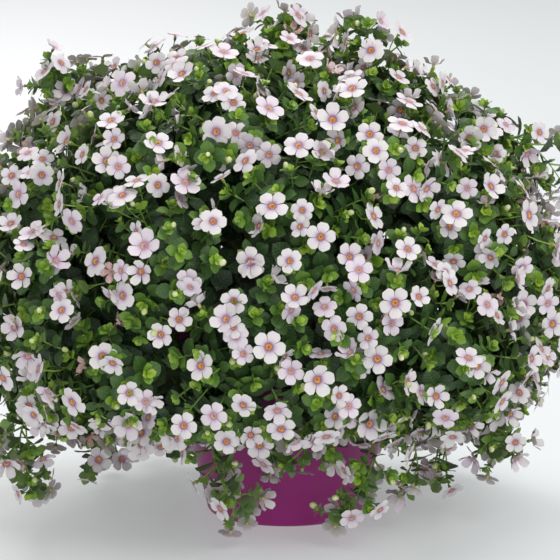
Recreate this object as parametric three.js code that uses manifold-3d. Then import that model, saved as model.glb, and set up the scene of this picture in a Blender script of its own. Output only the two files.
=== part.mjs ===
// A potted bacopa: a mound of leafy flowering stems that grow out of potting soil in a smooth tapered pot.
// Millimetres, +Z up. The origin is the middle of the pot's flat base, and the photographed side faces -Y.
import * as THREE from "three";
import { mergeVertices } from "three/addons/utils/BufferGeometryUtils.js";
import Module from "manifold-3d";

// The pot: a tapered plastic pot with a rolled rim, a rounded foot and drain holes.
const POT = {
  rimRadius: 88,
  footRadius: 56,
  height: 128,
  wall: 2.6,
  floor: 3.4,
  footRounding: 5,
  rimBead: 1.6,
  sides: 32,
};
const DRAIN = { count: 5, radius: 4.5, circle: 33, sides: 6 };

// The soil: its top lies below the rim, and each stem stands in a plain hole in it.
const SOIL = { top: 115, clearance: 0.4, crownRise: 4, sides: 24 };
const HOLE = { radius: 5, depth: 13, sides: 3 };

// The mound: a rounded superellipsoid about the crown, off to the left of the pot, with a low peak on top.
// Its skirt hangs lower at the left and at the back.
const CROWN = new THREE.Vector3(-16, 0, 135);
const MOUND = { side: 223, top: 200, squareness: 2.5, flatness: 0.05, peak: 0.07 };
const SKIRT = { depth: 95, moreAtLeft: 3, moreAtBack: 31, lowest: THREE.MathUtils.degToRad(-34) };
const LUMPS = { three: 0.02, five: 0.02 };

// Stems and blooms are spread by the golden angle, and each bloom belongs to the stem that it is nearest to.
const GOLDEN_ANGLE = Math.PI * (3 - Math.sqrt(5));
const STEMS = 44;
const BLOOMS = 316;
const BLOOM = {
  radius: 12,
  radiusSpread: 1.6,
  notch: 0.38,
  lobe: 0.4,
  cup: 1.4,
  throat: 0.8,
  sink: 9,
  tilt: 0.55,
  jitter: 4,
  room: 14,
};

// A stem runs from its root to its neck, then its head carries leaves and blooms: ring heights and radii.
const STEM = { root: 2.1, neck: 1.8, neckDepth: 54, tipDepth: 22 };
const HEAD = [
  [9, 2.9],
  [18, 3.8],
  [26, 3.8],
  [32, 1.9],
];
const LEAF = { reach: 56, least: 26, slimness: 0.29, under: 22, margin: 1, room: 6 };

// Shoots that run on past the mound, by where they end.
const STRAYS = [
  [46, -8, 358],
  [2, 16, 354],
  [-166, -18, 318],
  [-246, 20, 226],
  [200, -4, 236],
  [-176, -52, 24],
  [152, -40, 50],
  [-27, -118, 26],
  [34, -116, 22],
  [-78, 88, 22],
  [96, 128, 34],
  [-64, 190, 24],
];
const STRAY_ROOM = 16;

const SEED = 20263;

// A small repeatable random source (Park and Miller), so that the plant grows the same way each time.
function randomSource(seed) {
  let state = seed;
  return () => {
    state = (state * 16807) % 2147483647;
    return state / 2147483647;
  };
}

// How far the mound reaches from the crown in one direction.
function reach(direction) {
  const azimuth = Math.atan2(direction.y, direction.x);
  const flat = Math.hypot(direction.x, direction.y);
  const side = MOUND.side * (1 - MOUND.flatness * Math.sin(azimuth) ** 2);
  const below = SKIRT.depth - SKIRT.moreAtLeft * Math.cos(azimuth) + SKIRT.moreAtBack * Math.sin(azimuth);
  const height = direction.z > 0 ? MOUND.top : below;
  const p = MOUND.squareness;
  const plain = ((flat / side) ** p + (Math.abs(direction.z) / height) ** p) ** (-1 / p);
  const three = LUMPS.three * Math.sin(3 * azimuth + 0.7) * flat;
  const five = LUMPS.five * Math.sin(5 * azimuth + 9 * direction.z) * flat;
  return plain * (1 + three + five + MOUND.peak * Math.max(0, direction.z) ** 12);
}

// Evenly spread directions from straight up down to the lowest elevation.
function spread(index, count, lowest, turn = 0) {
  const z = 1 - ((index + 0.5) / count) * (1 - Math.sin(lowest));
  const flat = Math.sqrt(1 - z * z);
  const azimuth = index * GOLDEN_ANGLE + turn;
  return new THREE.Vector3(flat * Math.cos(azimuth), flat * Math.sin(azimuth), z);
}

const at = (direction, distance) => CROWN.clone().addScaledVector(direction, distance);

// Moves a point that hangs beside the pot out from its axis, to at least a given distance.
function clearOfPot(point, distance) {
  const radius = Math.hypot(point.x, point.y);
  if (point.z > POT.height + 12 || radius > distance) return point;
  return point.multiply(new THREE.Vector3(distance / radius, distance / radius, 1));
}

function upright(azimuth, radius, z) {
  return new THREE.Vector3(radius * Math.cos(azimuth), radius * Math.sin(azimuth), z);
}

// Two unit vectors square to an axis, with the first as near to the wanted side as it can be.
function crossAxes(axis, wanted) {
  const side = wanted.clone().addScaledVector(axis, -wanted.dot(axis)).normalize();
  return [side, axis.clone().cross(side)];
}

// The line of one stem: upright in its hole, over the rim if it has to, and out to its head. Low ones hang.
function stemLine(direction) {
  const elevation = Math.asin(direction.z);
  const droop = THREE.MathUtils.clamp(0.38 - 1.1 * elevation, 0, 1);
  const down = new THREE.Vector3(0, 0, -1);
  const axis = direction.clone().addScaledVector(down, 0.6 * droop).normalize();
  const headLength = STEM.neckDepth - STEM.tipDepth;
  const neck = at(direction, reach(direction) - STEM.tipDepth).addScaledVector(axis, -headLength);
  clearOfPot(neck, POT.rimRadius + 16);
  const tip = neck.clone().addScaledVector(axis, headLength);
  const azimuth = Math.atan2(neck.y, neck.x);
  const rootRadius = (POT.rimRadius - 13) * Math.cos(elevation / 2 + Math.PI / 4);
  const foot = upright(azimuth, rootRadius, SOIL.top - HOLE.depth + 1);
  const mouth = upright(azimuth, rootRadius, SOIL.top + SOIL.crownRise + 1.5);
  const length = neck.distanceTo(mouth);
  const rise = mouth.clone();
  rise.z += Math.max(30, length * 0.42) + 20 * droop;
  const arrival = axis.clone().lerp(down, droop).normalize();
  const arrive = neck.clone().addScaledVector(arrival, -Math.max(34, length * 0.4));
  arrive.add(upright(azimuth, 14 * droop, 0));
  const curve = new THREE.CubicBezierCurve3(mouth, rise, arrive, neck);
  return { azimuth, axis, tip, neck, foot, mouth, curve };
}

// The stem whose direction is nearest to a point's, and how far the point is clear of the next stem's share.
function nearestStem(stems, point) {
  const outward = point.clone().sub(CROWN);
  const far = outward.length();
  const gaps = stems.map((stem) => outward.distanceTo(stem.direction.clone().multiplyScalar(far)));
  const order = gaps.map((_, index) => index).sort((a, b) => gaps[a] - gaps[b]);
  return { stem: stems[order[0]], clear: (gaps[order[1]] - gaps[order[0]]) / 2 };
}

// Every stem with its blooms and its stray shoot: where each one is, which way it faces and how large it is.
function growPlant() {
  const random = randomSource(SEED);
  const either = (size) => (random() * 2 - 1) * size;
  const anyWay = (size) => new THREE.Vector3(either(size), either(size), either(size));
  const stems = [];
  for (let i = 0; i < STEMS; i++) {
    const direction = spread(i, STEMS, SKIRT.lowest, 1.2);
    stems.push({ direction, line: stemLine(direction), blooms: [] });
  }
  for (let i = 0; i < BLOOMS; i++) {
    const direction = spread(i, BLOOMS, SKIRT.lowest);
    const centre = at(direction, reach(direction) - random() * BLOOM.sink).add(anyWay(BLOOM.jitter));
    clearOfPot(centre, POT.rimRadius + 28);
    const { stem } = nearestStem(stems, centre);
    const facing = direction.clone().add(anyWay(BLOOM.tilt));
    const radius = BLOOM.radius + either(BLOOM.radiusSpread);
    const bloom = { centre, facing, radius, spin: random() * Math.PI };
    const free = stem.blooms.every((other) => other.centre.distanceTo(centre) > BLOOM.room);
    if (free) stem.blooms.push(bloom);
  }
  STRAYS.forEach((end) => {
    const stray = new THREE.Vector3(...end);
    const { stem } = nearestStem(stems.filter((other) => !other.stray), stray);
    const { tip, axis } = stem.line;
    const bend = tip.clone().addScaledVector(axis, tip.distanceTo(stray) * 0.5);
    stem.stray = new THREE.QuadraticBezierCurve3(tip, bend, stray);
    const path = stem.stray.getPoints(20);
    const clear = ({ centre }) => path.every((point) => point.distanceTo(centre) > STRAY_ROOM);
    stem.blooms = stem.blooms.filter(clear);
  });
  return stems;
}

// A closed skin of triangles. A part grows on it by taking a face away and sewing itself to its corners.
class Skin {
  points = [];
  faces = new Map();

  point(x) {
    return this.points.push(x) - 1;
  }

  face(a, b, c) {
    this.faces.set([a, b, c].join(), [a, b, c]);
    return [a, b, c];
  }

  open(face) {
    this.faces.delete(face.join());
    return face;
  }

  // Sews two loops of points together, both anticlockwise seen from outside, with the shortest set of seams.
  bridge(from, to) {
    const length = (a, b) => this.points[a].distanceTo(this.points[b]);
    const sew = (shift) => {
      const made = [];
      let seams = 0;
      for (let i = 0, j = 0; i < from.length || j < to.length; ) {
        const a = from[i % from.length];
        const b = to[(j + shift) % to.length];
        if ((i + 0.5) / from.length < (j + 0.5) / to.length) {
          made.push([a, from[(i + 1) % from.length], b]);
          i++;
        } else {
          made.push([b, a, to[(j + 1 + shift) % to.length]]);
          j++;
        }
        seams += length(a, b);
      }
      return { made, seams };
    };
    const best = to.map((_, shift) => sew(shift)).sort((x, y) => x.seams - y.seams)[0];
    best.made.forEach((face) => this.face(...face));
  }

  // Whether any edge passes through a face that it does not belong to.
  crossesItself() {
    const triangles = [...this.faces.values()].map((corners) => {
      const points = corners.map((corner) => this.points[corner]);
      return { corners, points, box: new THREE.Box3().setFromPoints(points) };
    });
    const ray = new THREE.Ray();
    const hit = new THREE.Vector3();
    const pierced = (from, to) => {
      const box = new THREE.Box3().setFromPoints([this.points[from], this.points[to]]);
      ray.set(this.points[from], this.points[to].clone().sub(this.points[from]).normalize());
      return triangles.some(({ corners, points, box: other }) => {
        if (corners.includes(from) || corners.includes(to) || !box.intersectsBox(other)) return false;
        return ray.intersectTriangle(...points, false, hit) && box.containsPoint(hit);
      });
    };
    return triangles.some(({ corners: [a, b, c] }) =>
      [[a, b], [b, c], [c, a]].some(([from, to]) => from < to && pierced(from, to)),
    );
  }

  middle(face) {
    return face.reduce((sum, corner) => sum.add(this.points[corner]), new THREE.Vector3()).divideScalar(3);
  }

  geometry() {
    const geometry = new THREE.BufferGeometry().setFromPoints(this.points);
    return geometry.setIndex([...this.faces.values()].flat());
  }
}

// A five-petalled bloom on a stalk that widens into its tube.
function growBloom(skin, face, { centre, facing, radius, spin }) {
  const corners = skin.open(face);
  const stalk = centre.clone().sub(skin.middle(face)).normalize();
  const front = facing.clone().addScaledVector(stalk, 0.8).normalize();
  const [across, up] = crossAxes(front, new THREE.Vector3(0.31, 0.17, 1));
  const place = (angle, distance, lift) => {
    const out = across.clone().multiplyScalar(Math.cos(angle)).addScaledVector(up, Math.sin(angle));
    return skin.point(centre.clone().addScaledVector(out, distance).addScaledVector(front, lift));
  };
  const throat = place(0, 0, -BLOOM.throat);
  const outline = [];
  for (let petal = 0; petal < 5; petal++) {
    const middle = spin + (petal * 2 * Math.PI) / 5;
    outline.push(place(middle - BLOOM.lobe, radius, 0), place(middle + BLOOM.lobe, radius, 0));
    outline.push(place(middle + Math.PI / 5, radius * BLOOM.notch, -BLOOM.cup));
  }
  outline.forEach((here, k) => skin.face(throat, here, outline[(k + 1) % outline.length]));
  const notches = outline.filter((_, k) => k % 3 === 2);
  notches.forEach((notch, petal) => {
    const [right, left] = outline.slice(petal * 3, petal * 3 + 2);
    const before = notches[(petal + 4) % 5];
    skin.face(before, left, right);
    skin.face(before, notch, left);
  });
  skin.bridge(corners, notches);
}

// A leaf, broadest beyond its middle. Its one odd root corner carries on as a rib, above it or beneath it.
function growLeaf(skin, face, { tip, halfWidth, up }) {
  const corners = skin.open(face);
  const middle = skin.middle(corners);
  const height = (corner) => skin.points[corner].clone().sub(middle).dot(up);
  const odd = [...corners].sort((one, other) => Math.abs(height(other)) - Math.abs(height(one)))[0];
  while (corners[0] !== odd) corners.push(corners.shift());
  const [a, b, c] = corners;
  const along = tip.clone().sub(middle);
  const left = along.clone().cross(up).normalize().multiplyScalar(height(odd) > 0 ? halfWidth : -halfWidth);
  const outline = [
    [0.48, 0.84],
    [0.78, 1],
    [1, 0],
    [0.78, -1],
    [0.48, -0.84],
  ];
  const [l1, l2, end, r2, r1] = outline.map(([share, side]) => {
    return skin.point(middle.clone().addScaledVector(along, share).addScaledVector(left, side));
  });
  const ribSide = [[a, l1, l2], [a, l2, end], [a, end, r2], [a, r2, r1]];
  const otherSide = [[b, l2, l1], [b, end, l2], [b, c, end], [c, r2, end], [c, r1, r2]];
  const root = [[a, b, l1], [c, a, r1]];
  [...ribSide, ...otherSide, ...root].forEach((made) => skin.face(...made));
}

// Hands out one slot to each organ, and swaps slots for as long as that lowers the sum of their costs.
function shareOut(slots, organs, cost) {
  const order = [...slots];
  const price = (slot, organ) => (organ ? cost(slot, organ) : 0);
  let swapped = true;
  while (swapped) {
    swapped = false;
    organs.forEach((organ, i) => {
      order.forEach((slot, j) => {
        const now = price(order[i], organ) + price(slot, organs[j]);
        const then = price(slot, organ) + price(order[i], organs[j]);
        if (i === j || then > now - 1e-6) return;
        [order[i], order[j]] = [order[j], order[i]];
        swapped = true;
      });
    });
  }
  return order;
}

// A three-sided tube that grows ring by ring. Each ring is turned by half a side, so its faces look six ways.
class Tube {
  constructor(skin, sideways, turn) {
    this.skin = skin;
    this.sideways = sideways;
    this.turn = turn;
  }

  ring(centre, along, radius) {
    const [side, up] = crossAxes(along, this.sideways);
    return [0, 1, 2].map((k) => {
      const angle = this.turn + (k * 2 * Math.PI) / 3;
      const out = side.clone().multiplyScalar(Math.cos(angle)).addScaledVector(up, Math.sin(angle));
      return this.skin.point(centre.clone().addScaledVector(out, radius));
    });
  }

  start(centre, along, radius) {
    this.last = this.ring(centre, along, radius);
    this.skin.face(this.last[0], this.last[2], this.last[1]);
  }

  // Adds one ring and gives back the six new faces as slots that organs can grow from.
  grow(centre, along, radius) {
    this.turn += Math.PI / 3;
    const next = this.ring(centre, along, radius);
    const faces = this.last.flatMap((corner, k) => {
      const after = (k + 1) % 3;
      return [
        this.skin.face(corner, this.last[after], next[k]),
        this.skin.face(next[k], this.last[after], next[after]),
      ];
    });
    this.last = next;
    return faces.map((face) => this.slot(face, centre, along));
  }

  slot(face, centre, along) {
    const middle = this.skin.middle(face);
    const out = middle.clone().sub(centre);
    out.addScaledVector(along, -out.dot(along)).normalize();
    return { face, middle, out };
  }

  finish() {
    return this.skin.face(...this.last);
  }
}

const pointsBetween = (from, to, count) =>
  Array.from({ length: count }, (_, k) => from.clone().lerp(to, (k + 1) / count));

// One leaf goes out from each lowest face of the head, as long as its stem's share of the mound allows.
function leafTip(stems, stem, slot) {
  const { neck, axis } = stem.line;
  for (let length = LEAF.reach; length > LEAF.least; length -= 1.5) {
    const tip = neck.clone().addScaledVector(slot.out, length);
    const outward = tip.clone().sub(CROWN).normalize();
    tip.copy(at(outward, reach(outward) - LEAF.under));
    const halfWidth = length * LEAF.slimness;
    const shoulder = slot.middle.clone().lerp(tip, 0.78);
    const side = slot.out.clone().cross(axis).multiplyScalar(halfWidth);
    const inside = [tip, shoulder.clone().add(side), shoulder.clone().sub(side)].every((point) => {
      const held = nearestStem(stems, point);
      const beside = point.z > POT.height + 8 || Math.hypot(point.x, point.y) > POT.rimRadius + 5;
      return held.stem === stem && held.clear > LEAF.margin && beside;
    });
    if (inside) return { tip, halfWidth, up: axis };
  }
  return null;
}

// One whole stem: its tube is turned to the first angle at which nothing on it runs through anything else.
function stemGeometry(stem, stems) {
  let skin;
  for (let turn = 0; turn < 120; turn += 5) {
    skin = growStem(stem, stems, THREE.MathUtils.degToRad(turn));
    if (!skin.crossesItself()) break;
  }
  return skin.geometry();
}

function growStem(stem, stems, turn) {
  const { azimuth, axis, tip, neck, foot, mouth, curve } = stem.line;
  const skin = new Skin();
  const tube = new Tube(skin, upright(azimuth + Math.PI / 2, 1, 0), turn);
  const vertical = new THREE.Vector3(0, 0, 1);
  tube.start(foot, vertical, STEM.root);
  tube.grow(mouth, vertical, STEM.root);
  for (const share of [0.25, 0.5, 0.75, 1]) {
    tube.grow(curve.getPoint(share), curve.getTangent(share), STEM.root + (STEM.neck - STEM.root) * share);
  }
  const levels = HEAD.map(([height, radius]) => {
    return tube.grow(neck.clone().addScaledVector(axis, height), axis, radius);
  });
  const leafSlots = levels.shift();
  const slots = levels.flatMap((level, k) => level.map((slot) => ({ ...slot, level: k })));
  if (stem.stray) {
    growStray(skin, tube, stem.stray);
  } else {
    slots.push({ face: tube.finish(), middle: tip, out: axis, level: levels.length });
  }
  const aside = ({ centre }) => {
    const out = centre.clone().sub(neck);
    return out.addScaledVector(axis, -out.dot(axis)).length();
  };
  const cost = (slot, bloom) => {
    const start = slot.middle.clone().addScaledVector(slot.out, 8);
    const level = levels.length * (1 - aside(bloom) / 34);
    return start.distanceTo(bloom.centre) + 7 * Math.abs(slot.level - level);
  };
  const order = shareOut(slots, stem.blooms, cost);
  stem.blooms.forEach((bloom, k) => growBloom(skin, order[k].face, bloom));
  const stalks = stem.blooms.flatMap((bloom, k) => pointsBetween(order[k].middle, bloom.centre, 10).slice(2));
  leafSlots.forEach((slot) => {
    const leaf = leafTip(stems, stem, slot);
    if (!leaf) return;
    const blade = pointsBetween(slot.middle, leaf.tip, 10).slice(2);
    const room = Math.min(...blade.flatMap((point) => stalks.map((other) => point.distanceTo(other))));
    if (room > LEAF.room) growLeaf(skin, slot.face, leaf);
  });
  return skin;
}

// The shoot that runs on from a head, with leaves in crossed pairs and blooms at its end.
function growStray(skin, tube, curve) {
  let slots = [];
  for (const share of [0.35, 0.6, 0.8, 1]) {
    const along = curve.getTangent(share);
    const centre = curve.getPoint(share);
    const outside = centre.distanceTo(CROWN) - reach(centre.clone().sub(CROWN).normalize());
    if (outside < 4 && share < 1) {
      tube.grow(centre, along, 1.6);
      continue;
    }
    tube.grow(centre.clone().addScaledVector(along, -2), along, 1.6);
    slots = tube.grow(centre.clone().addScaledVector(along, 2), along, 1.6);
    if (share === 1) break;
    [slots[1], slots[4]].forEach(({ face, middle, out }) => {
      const leafTip = middle.clone().addScaledVector(out, 18).addScaledVector(along, 6);
      growLeaf(skin, face, { tip: leafTip, halfWidth: 6.5, up: along });
    });
  }
  const along = curve.getTangent(1);
  const radius = BLOOM.radius * 0.9;
  const centre = curve.v2.clone().addScaledVector(along, 7);
  growBloom(skin, tube.finish(), { centre, facing: along, radius, spin: 0 });
  if (curve.getLength() < 60) return;
  const { face, middle, out } = slots[2];
  growBloom(skin, face, { centre: middle.clone().addScaledVector(out, 17), facing: out, radius, spin: 0.9 });
}

const wasm = await Module();
wasm.setup();

function toSolid(geometry) {
  const bare = geometry.clone();
  bare.deleteAttribute("normal");
  bare.deleteAttribute("uv");
  const merged = mergeVertices(bare, 1e-4);
  const mesh = new wasm.Mesh({
    numProp: 3,
    vertProperties: merged.attributes.position.array,
    triVerts: new Uint32Array(merged.index.array),
  });
  return new wasm.Manifold(mesh);
}

function toGeometry(solid) {
  const { vertProperties, triVerts } = solid.getMesh();
  const geometry = new THREE.BufferGeometry();
  geometry.setAttribute("position", new THREE.BufferAttribute(vertProperties, 3));
  return geometry.setIndex(new THREE.BufferAttribute(triVerts, 1));
}

// A lathe profile in radius and height, turned about +Z.
function turned(profile, sides) {
  const geometry = new THREE.LatheGeometry(profile.map(([r, z]) => new THREE.Vector2(r, z)), sides);
  return geometry.rotateX(Math.PI / 2);
}

// An upright prism between two heights.
function post(x, y, low, high, radius, sides) {
  const geometry = new THREE.CylinderGeometry(radius, radius, high - low, sides);
  return geometry.rotateX(Math.PI / 2).translate(x, y, (low + high) / 2);
}

// The pot's inner radius at a height above its floor.
function innerRadius(z) {
  return POT.footRadius - POT.wall + ((POT.rimRadius - POT.footRadius) * z) / POT.height;
}

function potGeometry() {
  const { rimRadius, footRadius, height, footRounding, rimBead, floor } = POT;
  const slope = (rimRadius - footRadius) / height;
  const outer = (z) => footRadius + slope * z;
  const profile = [
    [0, 0],
    [footRadius - footRounding, 0],
    [outer(0) - footRounding * 0.3, footRounding * 0.28],
    [outer(footRounding), footRounding],
    [outer(height - rimBead * 2.5), height - rimBead * 2.5],
    [rimRadius + rimBead * 0.7, height - rimBead],
    [rimRadius - POT.wall * 0.4, height],
    [innerRadius(height), height - rimBead],
    [innerRadius(floor + 3), floor + 3],
    [innerRadius(floor) - 4, floor],
    [0, floor],
  ];
  let solid = toSolid(turned(profile, POT.sides));
  for (let k = 0; k < DRAIN.count; k++) {
    const angle = (k * 2 * Math.PI) / DRAIN.count;
    const [x, y] = [DRAIN.circle * Math.cos(angle), DRAIN.circle * Math.sin(angle)];
    solid = solid.subtract(toSolid(post(x, y, -2, floor + 2, DRAIN.radius, DRAIN.sides)));
  }
  return toGeometry(solid);
}

function soilGeometry(stems) {
  const { top, clearance, crownRise } = SOIL;
  const low = POT.floor + clearance;
  const profile = [
    [0, low],
    [innerRadius(low) - 4 - clearance, low],
    [innerRadius(low + 3) - clearance, low + 3.4],
    [innerRadius(top) - clearance, top],
    [innerRadius(top) * 0.55, top + crownRise * 0.8],
    [0, top + crownRise],
  ];
  let solid = toSolid(turned(profile, SOIL.sides));
  stems.forEach(({ line }) => {
    const hole = post(line.foot.x, line.foot.y, top - HOLE.depth, line.mouth.z + 9, HOLE.radius, HOLE.sides);
    solid = solid.subtract(toSolid(hole));
  });
  return toGeometry(solid);
}

function material(colour, roughness) {
  return new THREE.MeshStandardMaterial({ color: new THREE.Color(...colour), roughness, metalness: 0 });
}

const plastic = material([0.2, 0.012, 0.105], 0.38);
const earth = material([0.045, 0.028, 0.018], 0.95);
const foliage = material([0.12, 0.21, 0.035], 0.55);

const plant = new THREE.Group();
function add(name, geometry, finish) {
  const mesh = new THREE.Mesh(geometry, finish);
  mesh.name = name;
  plant.add(mesh);
}

const stems = growPlant();
add("pot", potGeometry(), plastic);
add("soil", soilGeometry(stems), earth);
stems.forEach((stem, index) => {
  add(`leafy_stem_${String(index + 1).padStart(2, "0")}`, stemGeometry(stem, stems), foliage);
});

export default plant;
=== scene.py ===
# A potted bacopa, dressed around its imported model: pot, potting soil, leafy stems and white blooms.
# Metres, +Z up. The origin is the middle of the pot's flat base, and the photographed side faces -Y.
import math
import random

import bpy
import numpy as np
from mathutils import Matrix, Vector


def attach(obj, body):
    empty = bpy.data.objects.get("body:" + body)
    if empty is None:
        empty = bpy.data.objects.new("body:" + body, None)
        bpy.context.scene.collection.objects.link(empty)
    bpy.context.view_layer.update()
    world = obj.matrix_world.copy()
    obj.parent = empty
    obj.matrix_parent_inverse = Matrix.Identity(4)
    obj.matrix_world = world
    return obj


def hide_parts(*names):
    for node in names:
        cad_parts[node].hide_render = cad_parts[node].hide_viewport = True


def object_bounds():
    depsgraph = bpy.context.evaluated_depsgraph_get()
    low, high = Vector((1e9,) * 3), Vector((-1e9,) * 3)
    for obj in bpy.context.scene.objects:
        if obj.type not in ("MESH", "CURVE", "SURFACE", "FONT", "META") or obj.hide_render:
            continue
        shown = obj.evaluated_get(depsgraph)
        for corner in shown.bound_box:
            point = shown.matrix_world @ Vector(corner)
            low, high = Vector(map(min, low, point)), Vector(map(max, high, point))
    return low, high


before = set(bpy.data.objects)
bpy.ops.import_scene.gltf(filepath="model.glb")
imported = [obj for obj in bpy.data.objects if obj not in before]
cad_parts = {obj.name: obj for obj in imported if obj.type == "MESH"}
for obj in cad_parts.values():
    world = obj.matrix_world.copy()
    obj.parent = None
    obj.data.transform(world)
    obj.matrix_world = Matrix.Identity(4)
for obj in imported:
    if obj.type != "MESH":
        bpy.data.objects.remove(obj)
cad_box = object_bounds()

BODY = "root"

# The pot and its soil, as the model has them.
POT = {"rim": 0.088, "foot": 0.056, "height": 0.128, "wall": 0.0026, "floor": 0.0034, "sides": 96}
DRAIN = {"count": 5, "radius": 0.0045, "circle": 0.033}
SOIL = {"top": 0.115, "clearance": 0.0004, "rise": 0.004, "sides": 72}
CRUMBS = {"count": 420, "least": 0.0008, "most": 0.0026}

# The mound of the plant, as the model has it.
CROWN = Vector((-0.016, 0, 0.135))
MOUND = {"side": 0.223, "top": 0.2, "squareness": 2.5, "flatness": 0.05, "peak": 0.07}
SKIRT = {"depth": 0.095, "more_left": 0.003, "more_back": 0.031, "lowest": math.radians(-34)}
LUMPS = {"three": 0.02, "five": 0.02}
GOLDEN_ANGLE = math.pi * (3 - math.sqrt(5))
STEMS = 44
BLOOMS = 316
BLOOM = {"radius": 0.012, "spread": 0.0016, "sink": 0.009, "tilt": 0.55, "jitter": 0.004, "room": 0.014}
STEM = {"root": 0.0021, "neck": 0.0018, "neck_depth": 0.054, "tip_depth": 0.022}
HOLE_DEPTH = 0.013
STRAYS = [
    (0.046, -0.008, 0.358),
    (0.002, 0.016, 0.354),
    (-0.166, -0.018, 0.318),
    (-0.246, 0.02, 0.226),
    (0.2, -0.004, 0.236),
    (-0.176, -0.052, 0.024),
    (0.152, -0.04, 0.05),
    (-0.027, -0.118, 0.026),
    (0.034, -0.116, 0.022),
    (-0.078, 0.088, 0.022),
    (0.096, 0.128, 0.034),
    (-0.064, 0.19, 0.024),
]
STRAY_ROOM = 0.016
SEED = 20263

# How far from the pot's rim each kind of part stays where it hangs beside the pot, and from the box's walls.
POT_ROOM = dict(neck=0.016, bloom=0.028, companion=0.012, shoot=0.02, side_shoot=0.016, hanging=0.026)
BOX_ROOM = {"shoot": 0.013, "hanging": 0.016, "side_shoot": 0.015}
PETAL_ROOM = 1.25

# Side shoots fill the mound between the heads, and inner ones stand behind them.
SHOOTS = {"count": 1120, "least_depth": 0.006, "most_depth": 0.019, "jitter": 0.006, "radius": 0.0007}
INNER_SHOOTS = {"count": 640, "least_depth": 0.028, "most_depth": 0.075, "jitter": 0.01}

# A spray is a shoot that runs on past the mound, with short side shoots. The fringe is sprays along the
# skirt. Where the sine of the azimuth is under open_front, it has only the short ones in front of the pot.
SPRAY = {"leaves": 14, "side_shoots": 11, "first": 0.12, "last": 0.95, "length": 0.028}
FRINGE = {
    "around": 9,
    "front": 3,
    "open_front": -0.8,
    "elevation": math.radians(-30),
    "inside": 0.02,
    "leaves": 6,
    "side_shoots": 3,
}
FRINGE_FRONT = (math.radians(-82), math.radians(-64))
FRINGE_DROP = (0.026, 0.048)
FRONT_DROP = (0.016, 0.03)

# Leaves stand in crossed pairs, smallest at the shoot's tip: how far back from the tip, leaf length, and how
# far the leaf stands up from the shoot's side, in degrees. Long shoots carry on with even pairs.
LEAF_PAIRS = [
    (0.0, 0.0042, 68),
    (0.0009, 0.006, 54),
    (0.0024, 0.0078, 42),
    (0.0052, 0.0096, 30),
    (0.0096, 0.0112, 18),
    (0.0155, 0.0128, 8),
    (0.0235, 0.014, 0),
    (0.034, 0.0146, -6),
]
EVEN_PAIRS = {"apart": 0.01, "length": 0.0155, "raised": 4}
FINE_PAIRS = (2, 3)
COARSE_PAIRS = (0, 1, 6, 7)
INNER_FIRST_PAIR = 3
INNER_LEAF = 1.5

# Outlines of the leaf shapes, from stalk to tip: how far along, and half the width there.
FINE_LEAF = [(0, 0), (0.17, 0.16), (0.38, 0.42), (0.47, 0.38), (0.67, 0.41), (0.86, 0.25), (1, 0)]
PLAIN_LEAF = [(0, 0), (0.17, 0.16), (0.38, 0.4), (0.62, 0.43), (0.85, 0.27), (1, 0)]
COARSE_LEAF = [(0, 0), (0.3, 0.36), (0.74, 0.4), (1, 0)]

# Flowers: the scale of the model's blooms, the share of them with a companion, the radii of the others, and
# the limits under which a shoot's draw gives it a small flower, a faded one or a bud.
FLOWER_SCALE = 0.84
COMPANIONS = 0.4
RADII = {
    "small": (0.0076, 0.01),
    "faded": (0.0062, 0.008),
    "bud": (0.0036, 0.0052),
    "companion": (0.0074, 0.0092),
}
SMALL_UNDER, FADED_UNDER, BUD_UNDER = 0.48, 0.52, 0.7
STALK_RADIUS = 0.0005

# Directions that give leaves and flowers a first side to turn from.
LEAF_SIDE = Vector((0.3, 0.5, 0.81))
FLOWER_SIDE = Vector((0.31, 0.17, 1))

CAMERA = {"elevation": math.radians(10), "distance": 2.4, "width": 0.4032, "aim": (-0.0043, 0, 0.169)}

# Each light: its name, place, aim, size, power and colour.
LIGHTS = [
    ("key", (0.9, -1.3, 1.6), (0, 0, 0.2), (0.9, 0.9), 16, (1, 0.99, 0.97)),
    ("fill", (-1.6, -1.5, 0.9), (0, 0, 0.2), (1.2, 1.2), 4, (0.96, 0.98, 1)),
    ("low", (0.3, -2.3, 0.3), (0, 0, 0.05), (1.8, 0.4), 9, (1, 1, 1)),
    ("top", (0.2, 0.5, 2.2), (0, 0, 0.1), (1.6, 1.6), 26, (1, 1, 1)),
    ("backdrop", (-1.1, 2.6, 2.6), (-1.0, 3.2, 0), (1.6, 1.6), 66, (1, 0.98, 0.97)),
]


def clamp(value, least, most):
    return max(least, min(most, value))


def random_source(seed):
    """The repeatable random source (Park and Miller) that the model's plant was grown with."""
    state = seed
    while True:
        state = (state * 16807) % 2147483647
        yield state / 2147483647


def reach(direction):
    """How far the mound reaches from the crown in one direction."""
    azimuth = math.atan2(direction.y, direction.x)
    flat = math.hypot(direction.x, direction.y)
    side = MOUND["side"] * (1 - MOUND["flatness"] * math.sin(azimuth) ** 2)
    below = SKIRT["depth"] - SKIRT["more_left"] * math.cos(azimuth) + SKIRT["more_back"] * math.sin(azimuth)
    height = MOUND["top"] if direction.z > 0 else below
    power = MOUND["squareness"]
    plain = ((flat / side) ** power + (abs(direction.z) / height) ** power) ** (-1 / power)
    three = LUMPS["three"] * math.sin(3 * azimuth + 0.7) * flat
    five = LUMPS["five"] * math.sin(5 * azimuth + 9 * direction.z) * flat
    return plain * (1 + three + five + MOUND["peak"] * max(0, direction.z) ** 12)


def spread(index, count, turn=0.0):
    """Evenly spread directions from straight up down to the skirt's lowest elevation."""
    z = 1 - ((index + 0.5) / count) * (1 - math.sin(SKIRT["lowest"]))
    flat = math.sqrt(1 - z * z)
    azimuth = index * GOLDEN_ANGLE + turn
    return Vector((flat * math.cos(azimuth), flat * math.sin(azimuth), z))


def at(direction, distance):
    return CROWN + direction * distance


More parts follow.
